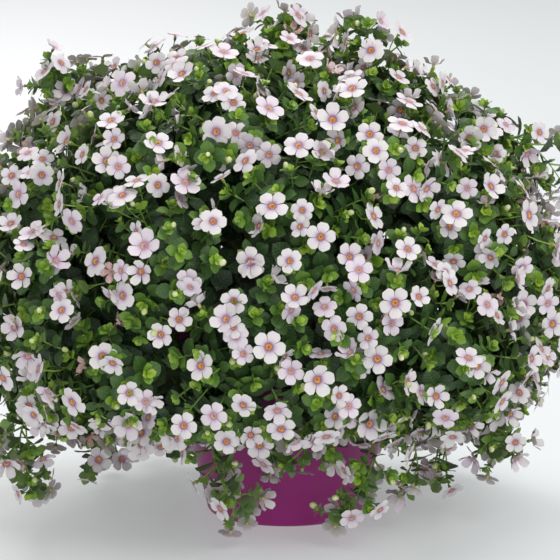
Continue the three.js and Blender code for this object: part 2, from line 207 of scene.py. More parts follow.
def clear_of_pot(point, kind):
    """Moves a point that hangs beside the pot out from its axis, as far as its kind of part needs."""
    distance = POT["rim"] + POT_ROOM[kind]
    radius = math.hypot(point.x, point.y)
    if point.z > POT["height"] + 0.012 or radius > distance:
        return point
    return Vector((point.x * distance / radius, point.y * distance / radius, point.z))


def upright(azimuth, radius, z):
    return Vector((radius * math.cos(azimuth), radius * math.sin(azimuth), z))


def cross_axes(axis, wanted):
    """Two unit vectors square to an axis, with the first as near to the wanted side as it can be."""
    side = (wanted - axis * wanted.dot(axis)).normalized()
    return side, axis.cross(side)


def round_axis(axis, wanted, angle):
    """A unit vector square to an axis, at an angle round it from the wanted side."""
    side, up = cross_axes(axis, wanted)
    return side * math.cos(angle) + up * math.sin(angle)


def bezier(corners, share):
    """The point at a share of the way along a Bezier curve with any number of corners."""
    while len(corners) > 1:
        corners = [a.lerp(b, share) for a, b in zip(corners, corners[1:])]
    return corners[0]


def line_of(corners, count):
    return [bezier(corners, k / count) for k in range(count + 1)]


def stem_line(direction):
    """One stem: upright in its hole, over the rim if it has to be, and out to its head. Low ones hang."""
    elevation = math.asin(direction.z)
    droop = clamp(0.38 - 1.1 * elevation, 0, 1)
    down = Vector((0, 0, -1))
    axis = (direction + down * 0.6 * droop).normalized()
    deep = STEM["tip_depth"] - STEM["neck_depth"]
    neck = clear_of_pot(at(direction, reach(direction) - STEM["tip_depth"]) + axis * deep, "neck")
    azimuth = math.atan2(neck.y, neck.x)
    root_radius = (POT["rim"] - 0.013) * math.cos(elevation / 2 + math.pi / 4)
    mouth = upright(azimuth, root_radius, SOIL["top"] + SOIL["rise"] + 0.0015)
    length = (neck - mouth).length
    rise = mouth + Vector((0, 0, max(0.03, length * 0.42) + 0.02 * droop))
    arrival = axis.lerp(down, droop).normalized()
    arrive = neck - arrival * max(0.034, length * 0.4) + upright(azimuth, 0.014 * droop, 0)
    foot = upright(azimuth, root_radius, SOIL["top"] - HOLE_DEPTH + 0.001)
    return {
        "direction": direction,
        "axis": axis,
        "neck": neck,
        "tip": neck - axis * deep,
        "path": [foot] + line_of([mouth, rise, arrive, neck], 10),
        "blooms": [],
        "shoots": [],
        "stray": None,
    }


def nearest_stem(stems, point):
    outward = point - CROWN
    distance = outward.length
    return min(stems, key=lambda stem: (outward - stem["direction"] * distance).length)


def grow_plant():
    """Every stem with its blooms and its stray shoot, from the same draws as the model's."""
    draw = random_source(SEED)
    either = lambda size: (next(draw) * 2 - 1) * size
    any_way = lambda size: Vector((either(size), either(size), either(size)))
    stems = [stem_line(spread(i, STEMS, 1.2)) for i in range(STEMS)]
    for i in range(BLOOMS):
        direction = spread(i, BLOOMS)
        centre = at(direction, reach(direction) - next(draw) * BLOOM["sink"]) + any_way(BLOOM["jitter"])
        centre = clear_of_pot(centre, "bloom")
        stem = nearest_stem(stems, centre)
        facing = direction + any_way(BLOOM["tilt"])
        radius = BLOOM["radius"] + either(BLOOM["spread"])
        bloom = {"centre": centre, "facing": facing, "radius": radius, "spin": next(draw) * math.pi}
        if all((other["centre"] - centre).length > BLOOM["room"] for other in stem["blooms"]):
            stem["blooms"].append(bloom)
    for end in map(Vector, STRAYS):
        stem = nearest_stem([other for other in stems if not other["stray"]], end)
        bend = stem["tip"] + stem["axis"] * (stem["tip"] - end).length * 0.5
        stem["stray"] = line_of([stem["tip"], bend, end], 20)
        stem["blooms"] = [
            bloom
            for bloom in stem["blooms"]
            if all((point - bloom["centre"]).length > STRAY_ROOM for point in stem["stray"])
        ]
    return stems


# Modelling helpers: a primitive is added, picked by place and shaped in edit mode.


def start(add, **size):
    """Adds one primitive with nothing else selected and opens it in edit mode."""
    if bpy.context.mode != "OBJECT":
        bpy.ops.object.mode_set(mode="OBJECT")
    bpy.ops.object.select_all(action="DESELECT")
    add(**size)
    bpy.ops.object.mode_set(mode="EDIT")
    return bpy.context.object


def pick(piece, test):
    """Selects the vertices for which the test holds."""
    bpy.ops.mesh.select_all(action="DESELECT")
    bpy.ops.object.mode_set(mode="OBJECT")
    for vertex in piece.data.vertices:
        vertex.select = test(vertex.co)
    bpy.ops.object.mode_set(mode="EDIT")


def move(x=0.0, y=0.0, z=0.0):
    bpy.ops.transform.translate(value=(x, y, z))


def scale(x=1.0, y=1.0, z=1.0, centre=(0, 0, 0)):
    bpy.ops.transform.resize(value=(x, y, z), center_override=centre)


def turn(angle, axis="Z", centre=(0, 0, 0)):
    bpy.ops.transform.rotate(value=angle, orient_axis=axis, center_override=centre)


def done(piece, name):
    bpy.ops.object.mode_set(mode="OBJECT")
    bpy.ops.object.transform_apply(location=True, rotation=True, scale=True)
    piece.name = name
    piece.data.name = name
    return piece


def choose(*pieces):
    """Selects these pieces alone, the last of them active."""
    bpy.ops.object.select_all(action="DESELECT")
    for piece in pieces:
        piece.select_set(True)
    bpy.context.view_layer.objects.active = pieces[-1]


def near(a, b, room=1e-4):
    return abs(a - b) < room


def grid_rows(rows, columns):
    """A strip of blade along +Y, one unit long, shaped row by row: (along, half width, lift)."""
    count = len(rows) - 1
    piece = start(bpy.ops.mesh.primitive_grid_add, x_subdivisions=columns, y_subdivisions=count, size=2)
    scale(1, 0.5)
    move(y=0.5)
    for k, (along, half, lift) in reversed(list(enumerate(rows))):
        pick(piece, lambda co, y=k / count: near(co.y, y))
        scale(x=max(half, 1e-6))
        move(y=along - k / count, z=lift)
    return piece


def close_blade(piece, thickness):
    """Gives a blade its lower face, which meets the upper one at the margin, and flags it in the UV map."""
    bpy.ops.mesh.select_all(action="SELECT")
    bpy.ops.mesh.remove_doubles(threshold=1e-5)
    bpy.ops.mesh.quads_convert_to_tris()
    bpy.ops.mesh.duplicate()
    bpy.ops.mesh.flip_normals()
    bpy.ops.object.mode_set(mode="OBJECT")
    mesh = piece.data
    layer = mesh.uv_layers.active.data
    uses = {}
    for face in mesh.polygons:
        for edge in face.edge_keys:
            uses[edge] = uses.get(edge, 0) + 1
        if face.select:
            for corner in face.loop_indices:
                layer[corner].uv.x += 2
    margin = {vertex for edge, count in uses.items() if count == 1 for vertex in edge}
    inner = [vertex.select and vertex.index not in margin for vertex in mesh.vertices]
    for part in (*mesh.edges, *mesh.polygons):
        part.select = False
    mesh.vertices.foreach_set("select", inner)
    bpy.ops.object.mode_set(mode="EDIT")
    move(z=-thickness)
    bpy.ops.mesh.select_all(action="SELECT")
    bpy.ops.mesh.remove_doubles(threshold=1e-5)


def set_uv(piece, rule):
    """Writes the blade's UV map from each corner's place: across and along."""
    bpy.ops.object.mode_set(mode="OBJECT")
    mesh = piece.data
    if not mesh.uv_layers:
        mesh.uv_layers.new()
    layer = mesh.uv_layers.active
    layer.name = "Blade"
    for loop in mesh.loops:
        layer.data[loop.index].uv = rule(mesh.vertices[loop.vertex_index].co)
    bpy.ops.object.mode_set(mode="EDIT")


class Shape:
    """A small closed mesh that is modelled once and then copied into the pieces many times."""

    def __init__(self, parts):
        self.points, self.faces, self.uvs, self.finish = [], [], [], []
        for piece, finish in parts:
            mesh = piece.data
            mesh.calc_loop_triangles()
            first = sum(len(block) for block in self.points)
            layer = mesh.uv_layers.active
            self.points.append(np.array([vertex.co for vertex in mesh.vertices]))
            for triangle in mesh.loop_triangles:
                self.faces.append([first + corner for corner in triangle.vertices])
                loops = triangle.loops
                self.uvs.append([tuple(layer.data[loop].uv) if layer else (0.5, 0) for loop in loops])
                self.finish.append(finish)
            bpy.data.objects.remove(piece)
            bpy.data.meshes.remove(mesh)
        self.points = np.vstack(self.points)
        self.faces = np.array(self.faces)
        self.uvs = np.array(self.uvs)
        self.finish = np.array(self.finish)


class Heap:
    """Collects copies of shapes, each placed, sized and tinted, and makes one mesh piece of them."""

    def __init__(self):
        self.points, self.faces, self.uvs, self.finish, self.tints = [], [], [], [], []
        self.total = 0

    def take(self, points, faces, uvs, finish, tint):
        self.points.append(points)
        self.faces.append(faces + self.total)
        self.uvs.append(uvs)
        self.finish.append(finish)
        self.tints.append(np.full(len(points), tint))
        self.total += len(points)

    def add(self, shape, place, x, y, z, tint):
        """One copy at a place, with its three axes already as long as the copy is large."""
        points = shape.points @ np.array([x, y, z]) + np.array(place)
        self.take(points, shape.faces, shape.uvs, shape.finish, tint)

    def tube(self, path, radii, sides, finish, tint):
        """A closed tube along a line of points."""
        rings = []
        for k, point in enumerate(path):
            along = (path[min(k + 1, len(path) - 1)] - path[max(k - 1, 0)]).normalized()
            side, up = cross_axes(along, FLOWER_SIDE if abs(along.z) < 0.9 else Vector((1, 0.2, 0.1)))
            for j in range(sides):
                angle = 2 * math.pi * j / sides
                rings.append(point + (side * math.cos(angle) + up * math.sin(angle)) * radii[k])
        faces = []
        for k in range(len(path) - 1):
            for j in range(sides):
                a, b = k * sides + j, k * sides + (j + 1) % sides
                faces += [(a, b, b + sides), (a, b + sides, a + sides)]
        last = (len(path) - 1) * sides
        for j in range(1, sides - 1):
            faces += [(0, j + 1, j), (last, last + j, last + j + 1)]
        faces = np.array(faces)
        uvs = np.full((len(faces), 3, 2), 0.5)
        self.take(np.array(rings), faces, uvs, np.full(len(faces), finish), tint)

    def piece(self, name, materials):
        mesh = bpy.data.meshes.new(name)
        faces = np.vstack(self.faces)
        mesh.vertices.add(self.total)
        mesh.vertices.foreach_set("co", np.vstack(self.points).ravel())
        mesh.loops.add(faces.size)
        mesh.loops.foreach_set("vertex_index", faces.ravel())
        mesh.polygons.add(len(faces))
        mesh.polygons.foreach_set("loop_start", np.arange(0, faces.size, 3))
        mesh.polygons.foreach_set("material_index", np.concatenate(self.finish))
        mesh.update(calc_edges=True)
        mesh.uv_layers.new(name="Blade").data.foreach_set("uv", np.vstack(self.uvs).ravel())
        mesh.attributes.new("tint", "FLOAT", "POINT").data.foreach_set("value", np.concatenate(self.tints))
        mesh.validate()
        mesh.shade_smooth()
        mesh.set_sharp_from_angle(angle=math.radians(65))
        for material in materials:
            mesh.materials.append(material)
        made = bpy.data.objects.new(name, mesh)
        bpy.context.scene.collection.objects.link(made)
        return made


# Shapes that repeat. A leaf is one unit long from the foot of its stalk, along +Y. A flower has a radius of
# one unit and looks along +Z.


def leaf_shape(rows, fold):
    """A toothed blade, folded a little along its midrib and arched down to its tip."""
    piece = grid_rows([(along, half, -0.34 * (along - 0.25) ** 2) for along, half in rows], 2)
    pick(piece, lambda co: abs(co.x) > 0.01)
    move(z=fold)
    set_uv(piece, lambda co: (0.5 + co.x, co.y))
    close_blade(piece, 0.03)
    return Shape([(done(piece, "leaf"), 0)])


def petal(lift, wave, width):
    """One broad round petal along +Y, from the throat's edge."""
    piece = start(bpy.ops.mesh.primitive_grid_add, x_subdivisions=4, y_subdivisions=2, size=2)
    rows = [(-1, 0.13, 0.095, 0.0), (0, 0.59, 0.4 * width, lift * 0.35), (1, 0.97, 0.42 * width, lift)]
    for y, along, half, height in rows:
        pick(piece, lambda co, y=y: near(co.y, y))
        scale(x=half)
        move(y=along - y, z=height)
    pick(piece, lambda co: co.y > 0.9 and abs(co.x) > 0.3 * width)
    scale(x=0.93)
    move(y=-0.2, z=-wave)
    pick(piece, lambda co: co.y > 0.9 and 0.05 < abs(co.x) < 0.3 * width)
    scale(x=1.1)
    move(y=-0.01)
    pick(piece, lambda co: 0.3 < co.y < 0.7 and abs(co.x) > 0.3 * width)
    move(z=-wave)
    pick(piece, lambda co: 0.3 < co.y < 0.7 and abs(co.x) < 0.02)
    move(z=0.02)
    set_uv(piece, lambda co: (0.5 + co.x, math.hypot(co.x, co.y)))
    close_blade(piece, 0.035)
    return piece


def corolla(lifts, wave=0.03, width=1.0):
    """Five petals round the throat, each lifted in its own way."""
    petals = []
    for k, lift in enumerate(lifts):
        piece = petal(lift, wave, width)
        bpy.ops.mesh.select_all(action="SELECT")
        turn(k * 2 * math.pi / 5)
        petals.append((done(piece, "petal"), 0))
    return petals


def cone(sides, low, high, depth, z):
    """Opens a new cone in edit mode, with its middle at a height."""
    add = bpy.ops.mesh.primitive_cone_add
    return start(add, vertices=sides, radius1=low, radius2=high, depth=depth, location=(0, 0, z))


def throat():
    """The flower's tube: a narrow cone whose mouth is sunk into a cup."""
    piece = cone(6, 0.075, 0.15, 0.5, -0.24)
    pick(piece, lambda co: co.z > 0)
    bpy.ops.mesh.inset(thickness=0.02)
    move(z=-0.02)
    bpy.ops.mesh.inset(thickness=0.05)
    move(z=-0.13)
    done(piece, "throat")
    bpy.ops.object.mode_set(mode="EDIT")
    outside = lambda co: math.hypot(co.x, co.y) > 0.135 or co.z < -0.2
    set_uv(piece, lambda co: (2.5, 0.1) if outside(co) else (0.5, math.hypot(co.x, co.y)))
    return (done(piece, "throat"), 0)


def calyx():
    """Five short sepals held round the tube."""
    return (done(cone(5, 0.07, 0.17, 0.3, -0.42), "calyx"), 1)


def flower(lifts, wave=0.03, width=1.0):
    return Shape([*corolla(lifts, wave, width), throat(), calyx()])


def bud_shape():
    """A round bud in its calyx."""
    piece = start(bpy.ops.mesh.primitive_uv_sphere_add, segments=6, ring_count=4, radius=0.5)
    scale(z=1.25)
    return Shape([(done(piece, "bud"), 2), calyx()])


# Materials.


class Tree:
    """Short ways to add and join shader nodes."""

    def __init__(self, owner):
        self.tree = owner

    def add(self, kind, values=(), **settings):
        node = self.tree.nodes.new(kind)
        for key, value in settings.items():
            setattr(node, key, value)
        for key, value in dict(values).items():
            self.put(node.inputs[key], value)
        return node

    def put(self, socket, value):
        if isinstance(value, bpy.types.NodeSocket):
            self.tree.links.new(value, socket)
        else:
            socket.default_value = value

    def sum(self, kind, *values):
        node = self.add("ShaderNodeMath", enumerate(values), operation=kind)
        return node.outputs[0]

    def between(self, share, first, second):
        node = self.add("ShaderNodeMix", data_type="RGBA", clamp_factor=True)
        self.put(node.inputs["Factor"], share)
        self.put(node.inputs["A"], first)
        self.put(node.inputs["B"], second)
        return node.outputs["Result"]

    def ramp(self, value, stops):
        node = self.add("ShaderNodeValToRGB", {"Fac": value})
        elements = node.color_ramp.elements
        while len(elements) < len(stops):
            elements.new(1)
        for element, (place, colour) in zip(elements, stops):
            element.position = place
            element.color = colour
        return node.outputs["Color"]

    def varied(self, value, patch, amount):
        """A value that goes up and down with a mottle's patches."""
        return self.sum("ADD", value, self.sum("MULTIPLY", self.sum("SUBTRACT", patch, 0.5), amount))

    def tint(self):
        return self.add("ShaderNodeAttribute", attribute_name="tint").outputs["Fac"]

    def blade(self):
        """How far across and along a blade: across is two more on its lower face."""
        place = self.add("ShaderNodeUVMap", uv_map="Blade").outputs["UV"]
        parts = self.add("ShaderNodeSeparateXYZ", {"Vector": place}).outputs
        return parts["X"], parts["Y"]

    def step(self, value, low, high):
        node = self.add("ShaderNodeMapRange", {"Value": value, "From Min": low, "From Max": high})
        node.interpolation_type = "SMOOTHSTEP"
        return node.outputs["Result"]


def colour(red, green, blue):
    """A colour as seen on a screen, from 0 to 255, turned into the light it stands for."""
    linear = lambda part: part / 12.92 if part <= 0.04045 else ((part + 0.055) / 1.055) ** 2.4
    return (linear(red / 255), linear(green / 255), linear(blue / 255), 1)


def new_group(name, inputs, outputs):
    group = bpy.data.node_groups.new(name, "ShaderNodeTree")
    for socket, value in inputs.items():
        made = group.interface.new_socket(socket, in_out="INPUT", socket_type="NodeSocketFloat")
        made.default_value = value
    for socket in outputs:
        group.interface.new_socket(socket, in_out="OUTPUT", socket_type="NodeSocketFloat")
    tree = Tree(group)
    return group, tree, tree.add("NodeGroupInput").outputs, tree.add("NodeGroupOutput").inputs


def mottle_group():
    """Uneven patches over a surface, in the object's own coordinates, as a value round one half."""
    group, tree, inputs, outputs = new_group("Mottle", {"Scale": 100, "Contrast": 1}, ["Value"])
    place = tree.add("ShaderNodeTexCoord").outputs["Object"]
    noise = tree.add("ShaderNodeTexNoise", {"Vector": place, "Scale": inputs["Scale"], "Detail": 3.0})
    centred = tree.sum("SUBTRACT", noise.outputs["Fac"], 0.5)
    tree.put(outputs["Value"], tree.sum("MULTIPLY_ADD", centred, inputs["Contrast"], 0.5))
    return group


def veins_group():
    """A midrib and slanting side veins on a blade, from its UV map, as a mask that is one on a vein."""
    inputs = {"Side veins": 6, "Slant": 2, "Width": 0.12, "Midrib": 0.03}
    group, tree, inputs, outputs = new_group("Veins", inputs, ["Mask"])
    x, y = tree.blade()
    across = tree.sum("ABSOLUTE", tree.sum("SUBTRACT", tree.sum("MODULO", x, 2.0), 0.5))
    along = tree.sum("MULTIPLY", y, inputs["Side veins"])
    slanted = tree.sum("SUBTRACT", along, tree.sum("MULTIPLY", across, inputs["Slant"]))
    nearby = tree.sum("PINGPONG", slanted, 0.5)
    side = tree.sum("SUBTRACT", 1.0, tree.step(nearby, 0.0, inputs["Width"]))
    middle = tree.sum("SUBTRACT", 1.0, tree.step(across, 0.0, inputs["Midrib"]))
    tree.put(outputs["Mask"], tree.sum("MAXIMUM", side, middle))
    return group


def new_material(name, shown):
    material = bpy.data.materials.new(name)
    material.use_nodes = True
    material.diffuse_color = shown
    tree = Tree(material.node_tree)
    return material, tree, material.node_tree.nodes["Principled BSDF"].inputs


def placed(tree, group, **values):
    node = tree.add("ShaderNodeGroup", node_tree=group)
    for key, value in values.items():
        node.inputs[key.replace("_", " ")].default_value = value
    return node.outputs[0]


def bumped(tree, height, strength, distance):
    bump = tree.add("ShaderNodeBump", {"Strength": strength, "Distance": distance, "Height": height})
    return bump.outputs["Normal"]


def speckled(name, shown, mottle, texture, stops, roughness, bump):
    """A material whose colour and relief both follow one mottle."""
    material, tree, shader = new_material(name, shown)
    patch = placed(tree, mottle, Scale=texture[0], Contrast=texture[1])
    tree.put(shader["Base Color"], tree.ramp(patch, stops))
    shader["Roughness"].default_value = roughness
    tree.put(shader["Normal"], bumped(tree, patch, *bump))
    return material


def leaf_material(mottle, veins):
    """Green blades: bright and yellowish when young, deep green when old, paler underneath. The ramp's
    darkest end is partly painted shade: it darkens the old leaves deep inside the mound, where shade falls.
    """
    material, tree, shader = new_material("leaf", colour(84, 128, 44))
    aged = tree.varied(tree.tint(), placed(tree, mottle, Scale=160, Contrast=1.2), 0.35)
    # Age ramp: its dark old end is partly real old-leaf green and partly painted shade for the leaves inside
    # the mound.
    blade = tree.ramp(
        aged,
        [
            (0.0, colour(152, 182, 58)),
            (0.25, colour(108, 148, 44)),
            (0.55, colour(62, 98, 36)),
            (1.0, colour(28, 56, 28)),
        ],
    )
    vein = placed(tree, veins, Side_veins=6, Slant=4, Width=0.13, Midrib=0.03)
    veined = tree.between(tree.sum("MULTIPLY", vein, 0.2), blade, colour(150, 182, 90))
    under = tree.sum("GREATER_THAN", tree.blade()[0], 1.5)
    sided = tree.between(tree.sum("MULTIPLY", under, 0.35), veined, colour(150, 172, 118))
    tree.put(shader["Base Color"], sided)
    fine = placed(tree, mottle, Scale=900, Contrast=1)
    tree.put(shader["Roughness"], tree.sum("MULTIPLY_ADD", fine, 0.2, 0.38))
    height = tree.sum("SUBTRACT", tree.sum("MULTIPLY", fine, 0.6), vein)
    tree.put(shader["Normal"], bumped(tree, height, 0.35, 0.0003))
    return material


def stalk_material(mottle):
    """Thin stems, flower stalks and sepals: fresh green, browner where they are old."""
    material, tree, shader = new_material("stalk", colour(110, 140, 60))
    patch = placed(tree, mottle, Scale=300, Contrast=1.5)
    aged = tree.varied(tree.tint(), patch, 0.4)
    stops = [(0.0, colour(138, 168, 70)), (0.5, colour(104, 138, 52)), (1.0, colour(92, 74, 44))]
    tree.put(shader["Base Color"], tree.ramp(aged, stops))
    shader["Roughness"].default_value = 0.55
    tree.put(shader["Normal"], bumped(tree, patch, 0.4, 0.0004))
    return material


def petal_material(mottle, veins):
    """White petals with a lilac flush, a fuzzy mauve ring and an orange throat. Old ones turn brown."""
    material, tree, shader = new_material("petal", colour(236, 230, 236))
    across, outward = tree.blade()
    under = tree.sum("GREATER_THAN", across, 1.5)
    tint = tree.tint()
    fuzz = placed(tree, mottle, Scale=700, Contrast=1.4)
    fuzzy = tree.varied(outward, fuzz, 0.1)
    face = tree.ramp(
        fuzzy,
        [
            (0.0, colour(120, 58, 10)),
            (0.06, colour(188, 106, 18)),
            (0.11, colour(222, 162, 42)),
            (0.165, colour(204, 134, 44)),
            (0.205, colour(126, 74, 82)),
            (0.28, colour(156, 120, 152)),
            (0.4, colour(200, 186, 198)),
            (0.58, colour(215, 210, 210)),
            (1.0, colour(217, 213, 212)),
        ],
    )
    stops = [(0.1, colour(190, 176, 122)), (0.35, colour(208, 198, 200)), (1, colour(221, 216, 217))]
    back = tree.ramp(outward, stops)
    plain = tree.between(under, face, back)
    flush = tree.between(tree.sum("MULTIPLY", tree.step(tint, 0.4, 1.0), 0.3), plain, colour(214, 190, 214))
    vein = placed(tree, veins, Side_veins=9, Slant=7, Width=0.25, Midrib=0.04)
    veined = tree.between(tree.sum("MULTIPLY", vein, 0.07), flush, colour(196, 160, 196))
    old = tree.step(tint, 1.0, 1.6)
    withered = tree.ramp(fuzz, [(0.3, colour(150, 104, 92)), (0.7, colour(196, 164, 150))])
    tree.put(shader["Base Color"], tree.between(tree.sum("MULTIPLY", old, 0.8), veined, withered))
    fine = placed(tree, mottle, Scale=1500, Contrast=1)
    tree.put(shader["Roughness"], tree.sum("MULTIPLY_ADD", fine, 0.15, 0.48))
    height = tree.sum("SUBTRACT", fine, tree.sum("MULTIPLY", vein, 0.5))
    tree.put(shader["Normal"], bumped(tree, height, 0.25, 0.0002))
    return material


def bud_material(mottle):
    """Cream-green buds."""
    stops = [(0.2, colour(168, 190, 96)), (0.8, colour(222, 220, 184))]
    return speckled("bud", colour(214, 222, 160), mottle, (350, 1.6), stops, 0.5, (0.3, 0.0003))


def plastic_material(mottle):
    """Satin purple plastic, with faint unevenness and fine scuffs."""
    material, tree, shader = new_material("pot_plastic", colour(98, 28, 80))
    cloud = placed(tree, mottle, Scale=14, Contrast=1.3)
    fine = placed(tree, mottle, Scale=1400, Contrast=1)
    base = tree.ramp(cloud, [(0.2, colour(136, 14, 104)), (0.8, colour(148, 18, 114))])
    tree.put(shader["Base Color"], base)
    rough = tree.sum("MULTIPLY_ADD", cloud, 0.14, tree.sum("MULTIPLY_ADD", fine, 0.08, 0.3))
    tree.put(shader["Roughness"], rough)
    tree.put(shader["Normal"], bumped(tree, fine, 0.12, 0.0002))
    return material


def soil_material(mottle):
    """Dark damp potting soil."""
    stops = [(0.25, colour(34, 25, 19)), (0.6, colour(66, 49, 37)), (0.85, colour(98, 76, 56))]
    return speckled("potting_soil", colour(58, 44, 34), mottle, (420, 2.2), stops, 0.93, (0.9, 0.0012))


def perlite_material(mottle):
    """White crumbs of perlite."""
    stops = [(0.2, colour(186, 180, 166)), (0.8, colour(232, 229, 221))]
    return speckled("perlite", colour(222, 218, 208), mottle, (800, 1.6), stops, 0.9, (0.6, 0.0004))


# The pot and the soil.


def extrude_rings(profile):
    """Draws the open ring that is selected out along a profile of radius and height."""
    for (before, low), (radius, z) in zip(profile, profile[1:]):
        bpy.ops.mesh.extrude_region_move(TRANSFORM_OT_translate={"value": (0, 0, z - low)})
        share = radius / before
        scale(share, share, 1, centre=(0, 0, z))


def turned_piece(name, profile, sides):
    """A closed round piece that is drawn out ring by ring, then capped at both ends."""
    first_radius, low = profile[0]
    circle = bpy.ops.mesh.primitive_circle_add
    piece = start(circle, vertices=sides, radius=first_radius, location=(0, 0, low))
    extrude_rings(profile)
    bpy.ops.mesh.edge_face_add()
    pick(piece, lambda co: co.z < low + 1e-5 and co.xy.length < first_radius * 1.5)
    bpy.ops.mesh.edge_face_add()
    bpy.ops.mesh.select_all(action="SELECT")
    bpy.ops.mesh.normals_make_consistent(inside=False)
    return done(piece, name)


def arc(centre, radius, first, last, steps):
    """Profile points on a round, between two angles in degrees."""
    angles = [math.radians(first + (last - first) * k / steps) for k in range(steps + 1)]
    return [(centre[0] + radius * math.cos(a), centre[1] + radius * math.sin(a)) for a in angles]


def inner_radius(z):
    return POT["foot"] - POT["wall"] + (POT["rim"] - POT["foot"]) * z / POT["height"]


def make_pot(material):
    """The tapered pot: flat base, rounded foot, plain wall, rolled rim, inner wall and floor, drain holes."""
    slope = (POT["rim"] - POT["foot"]) / POT["height"]
    outer = lambda z: POT["foot"] + slope * z
    bead = (POT["rim"] - 0.0002, POT["height"] - 0.0019)
    profile = [
        (0.002, 0),
        (outer(0) - 0.005, 0),
        *arc((outer(0.005) - 0.0045, 0.0045), 0.0045, -84, -8, 6),
        (outer(0.012), 0.012),
        (outer(0.06), 0.06),
        (outer(POT["height"] - 0.0075), POT["height"] - 0.0075),
        (outer(POT["height"] - 0.005), POT["height"] - 0.005),
        *arc(bead, 0.0018, -50, 150, 8),
        (inner_radius(POT["height"] - 0.004), POT["height"] - 0.004),
        (inner_radius(0.06), 0.06),
        (inner_radius(0.0075), 0.0075),
        (inner_radius(0.0045) - 0.0015, 0.0045),
        (inner_radius(POT["floor"]) - 0.005, POT["floor"]),
        (0.002, POT["floor"]),
    ]
    piece = turned_piece("pot_shell", profile, POT["sides"])
    for k in range(DRAIN["count"]):
        place = upright(k * 2 * math.pi / DRAIN["count"], DRAIN["circle"], 0)
        bpy.ops.object.select_all(action="DESELECT")
        bpy.ops.mesh.primitive_cylinder_add(vertices=24, radius=DRAIN["radius"], depth=0.02, location=place)
        plug = bpy.context.object
        bpy.context.view_layer.objects.active = piece
        cut = piece.modifiers.new("drain", "BOOLEAN")
        cut.object = plug
        cut.operation = "DIFFERENCE"
        cut.solver = "EXACT"
        bpy.ops.object.modifier_apply(modifier=cut.name)
        bpy.data.objects.remove(plug)
    choose(piece)
    bpy.ops.object.shade_smooth_by_angle(angle=math.radians(40))
    piece.data.materials.append(material)
    return piece


def make_soil(materials):
    """The soil: a plug that fills the pot, with a rough crumbly top and bits of perlite."""
    low = POT["floor"] + SOIL["clearance"]
    wide = inner_radius(SOIL["top"]) - SOIL["clearance"]
    shares = np.linspace(0.97, 0.03, 22)
    crown = [(wide * share, SOIL["top"] + SOIL["rise"] * (1 - share * share)) for share in shares]
    profile = [
        (0.002, low),
        (inner_radius(low) - 0.004 - SOIL["clearance"], low),
        (inner_radius(low + 0.003) - SOIL["clearance"], low + 0.0034),
        (wide - 0.0004, SOIL["top"]),
        *crown,
    ]
    piece = turned_piece("soil_plug", profile, SOIL["sides"])
    top = piece.vertex_groups.new(name="top")
    inside = wide - 0.002
    loose = [v.index for v in piece.data.vertices if v.co.z > SOIL["top"] and v.co.xy.length < inside]
    top.add(loose, 1, "REPLACE")
    clouds = bpy.data.textures.new("soil_lumps", "CLOUDS")
    clouds.noise_scale = 0.009
    lumps = piece.modifiers.new("lumps", "DISPLACE")
    lumps.texture = clouds
    lumps.vertex_group = "top"
    lumps.strength = 0.004
    lumps.mid_level = 0.62
    bpy.ops.object.modifier_apply(modifier=lumps.name)
    choose(make_crumbs(wide), piece)
    bpy.ops.object.join()
    bpy.ops.object.shade_smooth_by_angle(angle=math.radians(50))
    piece.data.materials.clear()
    for material in materials:
        piece.data.materials.append(material)
    return piece


def make_crumbs(wide):
    """Small angular crumbs sunk into the soil's top, every fourth one of perlite."""
    chance = random.Random(31)
    start(bpy.ops.mesh.primitive_ico_sphere_add, subdivisions=1, radius=1)
    scale(1, 0.8, 0.7)
    crumb = Shape([(done(bpy.context.object, "crumb"), 0)])
    heap = Heap()
    for k in range(CRUMBS["count"]):
        radius = wide * math.sqrt(chance.random()) * 0.96
        height = SOIL["top"] + SOIL["rise"] * (1 - (radius / wide) ** 2) - 0.0004
        place = upright(chance.random() * 2 * math.pi, radius, height)
        size = chance.uniform(CRUMBS["least"], CRUMBS["most"])
        frame_of = Matrix.Rotation(chance.random() * 6.3, 3, Vector((chance.random(), chance.random(), 0.5)))
        axes = [Vector(frame_of.col[j]) * size for j in range(3)]
        crumb.finish[:] = 1 if k % 4 == 0 else 0
        points = crumb.points @ np.array(axes) + np.array(place)
        heap.take(points, crumb.faces, crumb.uvs, crumb.finish.copy(), 0.5)
    return heap.piece("crumbs", [])


# The plant.


def add_shoots(stems, chance):
    """Gives each stem the side shoots that end in its share of the mound."""
    # Inner shoots start at a greater age, so their leaves get the leaf ramp's dark end, which is partly
    # painted shade for the mound's inside.
    for layer, age in ((SHOOTS, 0.0), (INNER_SHOOTS, 0.55)):
        for i in range(layer["count"]):
            direction = spread(i, layer["count"], 0.5)
            depth = chance.uniform(layer["least_depth"], layer["most_depth"])
            jitter = Vector([chance.uniform(-1, 1) * layer["jitter"] for _ in range(3)])
            end = clear_of_pot(at(direction, reach(direction) - depth) + jitter, "shoot")
            end = inside_box(end, BOX_ROOM["shoot"])
            stem = nearest_stem(stems, end)
            aside = end - stem["neck"]
            aside -= stem["axis"] * aside.dot(stem["axis"])
            height = clamp(0.026 - aside.length * 0.9, -0.012, 0.024)
            base = chance.choice(stem["path"][-5:]) if age else stem["neck"] + stem["axis"] * height
            bend = base.lerp(end, 0.45) + stem["axis"] * (end - base).length * 0.16
            path = line_of([base, bend, end], 3 if age else 5)
            flowers = 0 if age else 0.5
            stem["shoots"].append({"path": path, "age": age, "leaves": len(LEAF_PAIRS), "flowers": flowers})
    for stem in stems:
        if stem["stray"]:
            add_spray(stem, stem["stray"], SPRAY, chance)
    add_fringe(stems, chance)


